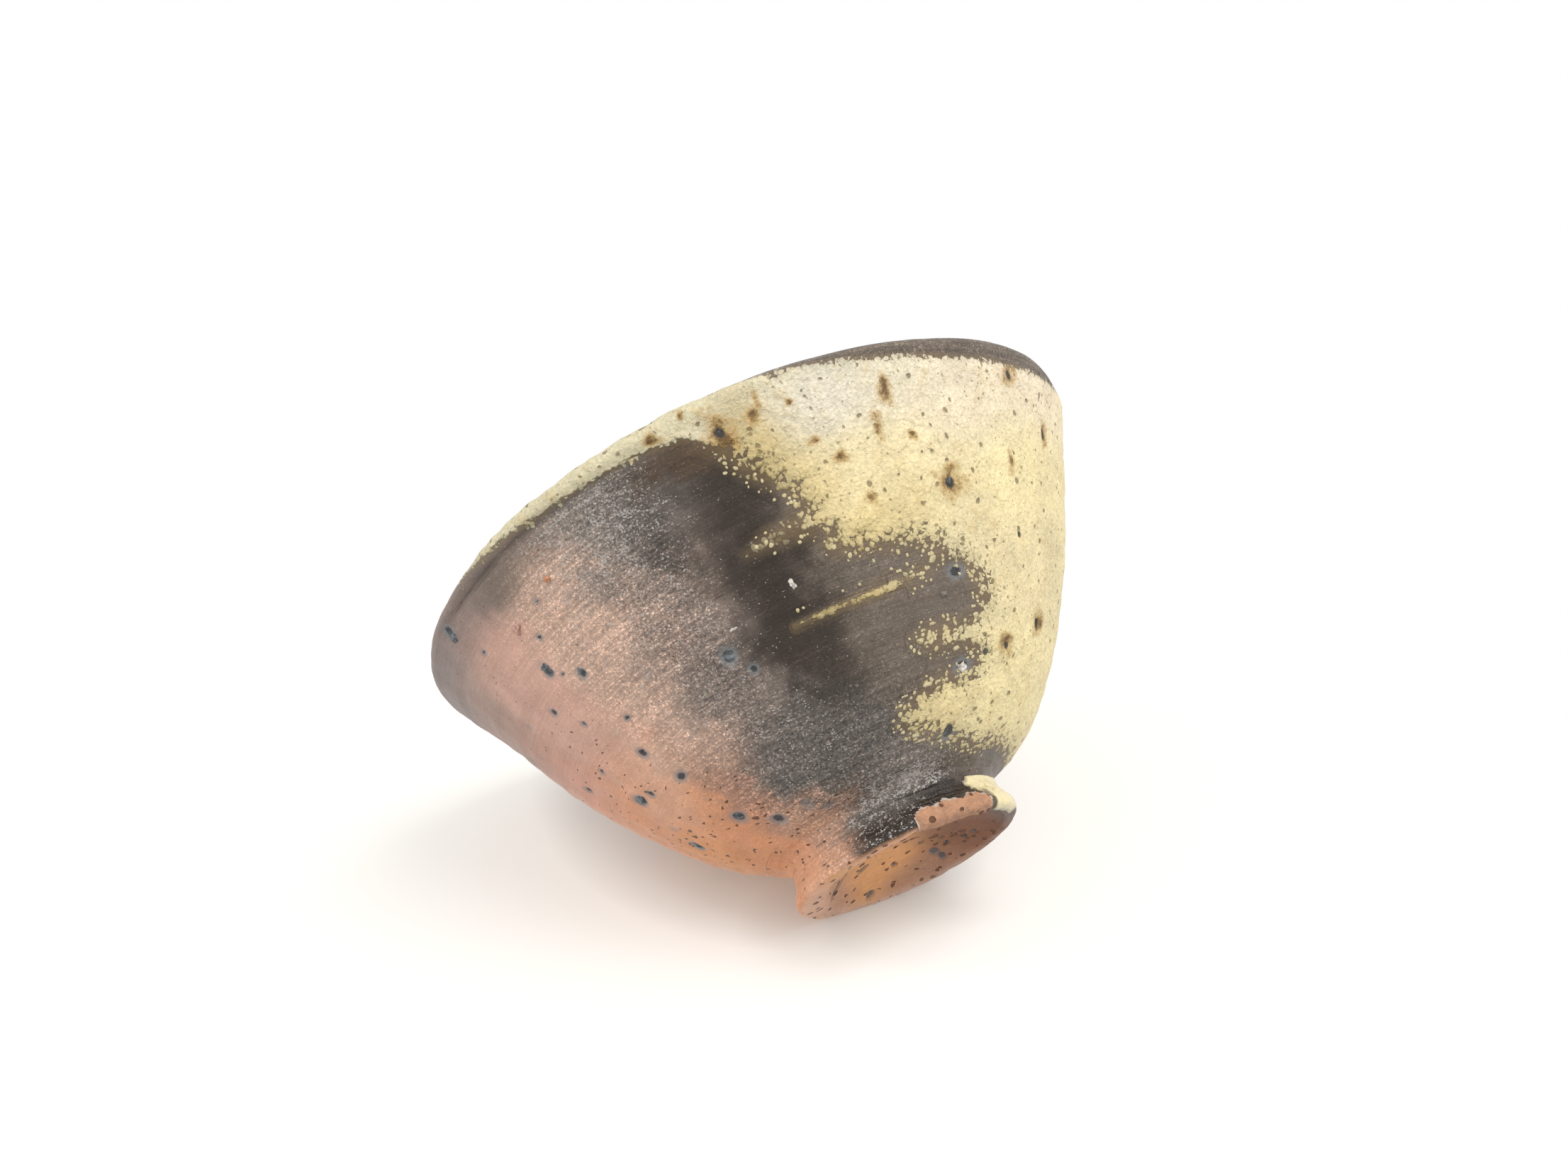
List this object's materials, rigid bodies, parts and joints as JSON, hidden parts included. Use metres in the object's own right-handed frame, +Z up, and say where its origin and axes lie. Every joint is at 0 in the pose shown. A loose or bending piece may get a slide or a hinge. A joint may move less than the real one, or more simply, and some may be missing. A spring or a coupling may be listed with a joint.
{
  "type": "tea bowl",
  "caption": "Wood-fired stoneware tea bowl with an open flaring wall, round lip and small crescent foot, its fire side coated in yellow natural ash, with iron beads and feldspar stones.",
  "frame": {"origin": "centre of the circle that the foot stands on", "axes": "+Z up along the bowl's axis from foot to lip, -Y towards the side with the ash edge, +X towards the ash-coated side"},
  "size_m": [0.112, 0.1122, 0.06],
  "materials": {
    "fired_clay": "satin, brown to mauve to orange",
    "foot_clay": "matte orange clay, black and metallic on one side",
    "slip": "satin",
    "ash_glaze": "matte, sugary",
    "ash_run": "glassy",
    "wad_clay": "rough, broken",
    "iron": "glossy black slag",
    "feldspar": "satin"
  },
  "bodies": {
    "root": {"bowl_wall": "fired_clay", "foot_ring": "foot_clay", "luting_slip": "slip", "ash_coat": "ash_glaze", "lip_ash_band": "ash_glaze", "foot_ash_run": "ash_run", "wad_scar": "wad_clay", "iron_bead_01": "iron", "iron_bead_02": "iron", "iron_bead_03": "iron", "iron_bead_04": "iron", "iron_bead_05": "iron", "iron_bead_06": "iron", "iron_bead_07": "iron", "iron_bead_08": "iron", "iron_bead_09": "iron", "iron_bead_10": "iron", "iron_bead_11": "iron", "iron_bead_12": "iron", "feldspar_stone_01": "feldspar", "feldspar_stone_02": "feldspar", "feldspar_stone_03": "feldspar", "feldspar_stone_04": "feldspar", "feldspar_stone_05": "feldspar", "feldspar_stone_06": "feldspar", "feldspar_stone_07": "feldspar", "feldspar_stone_08": "feldspar"}
  },
  "joints": []
}
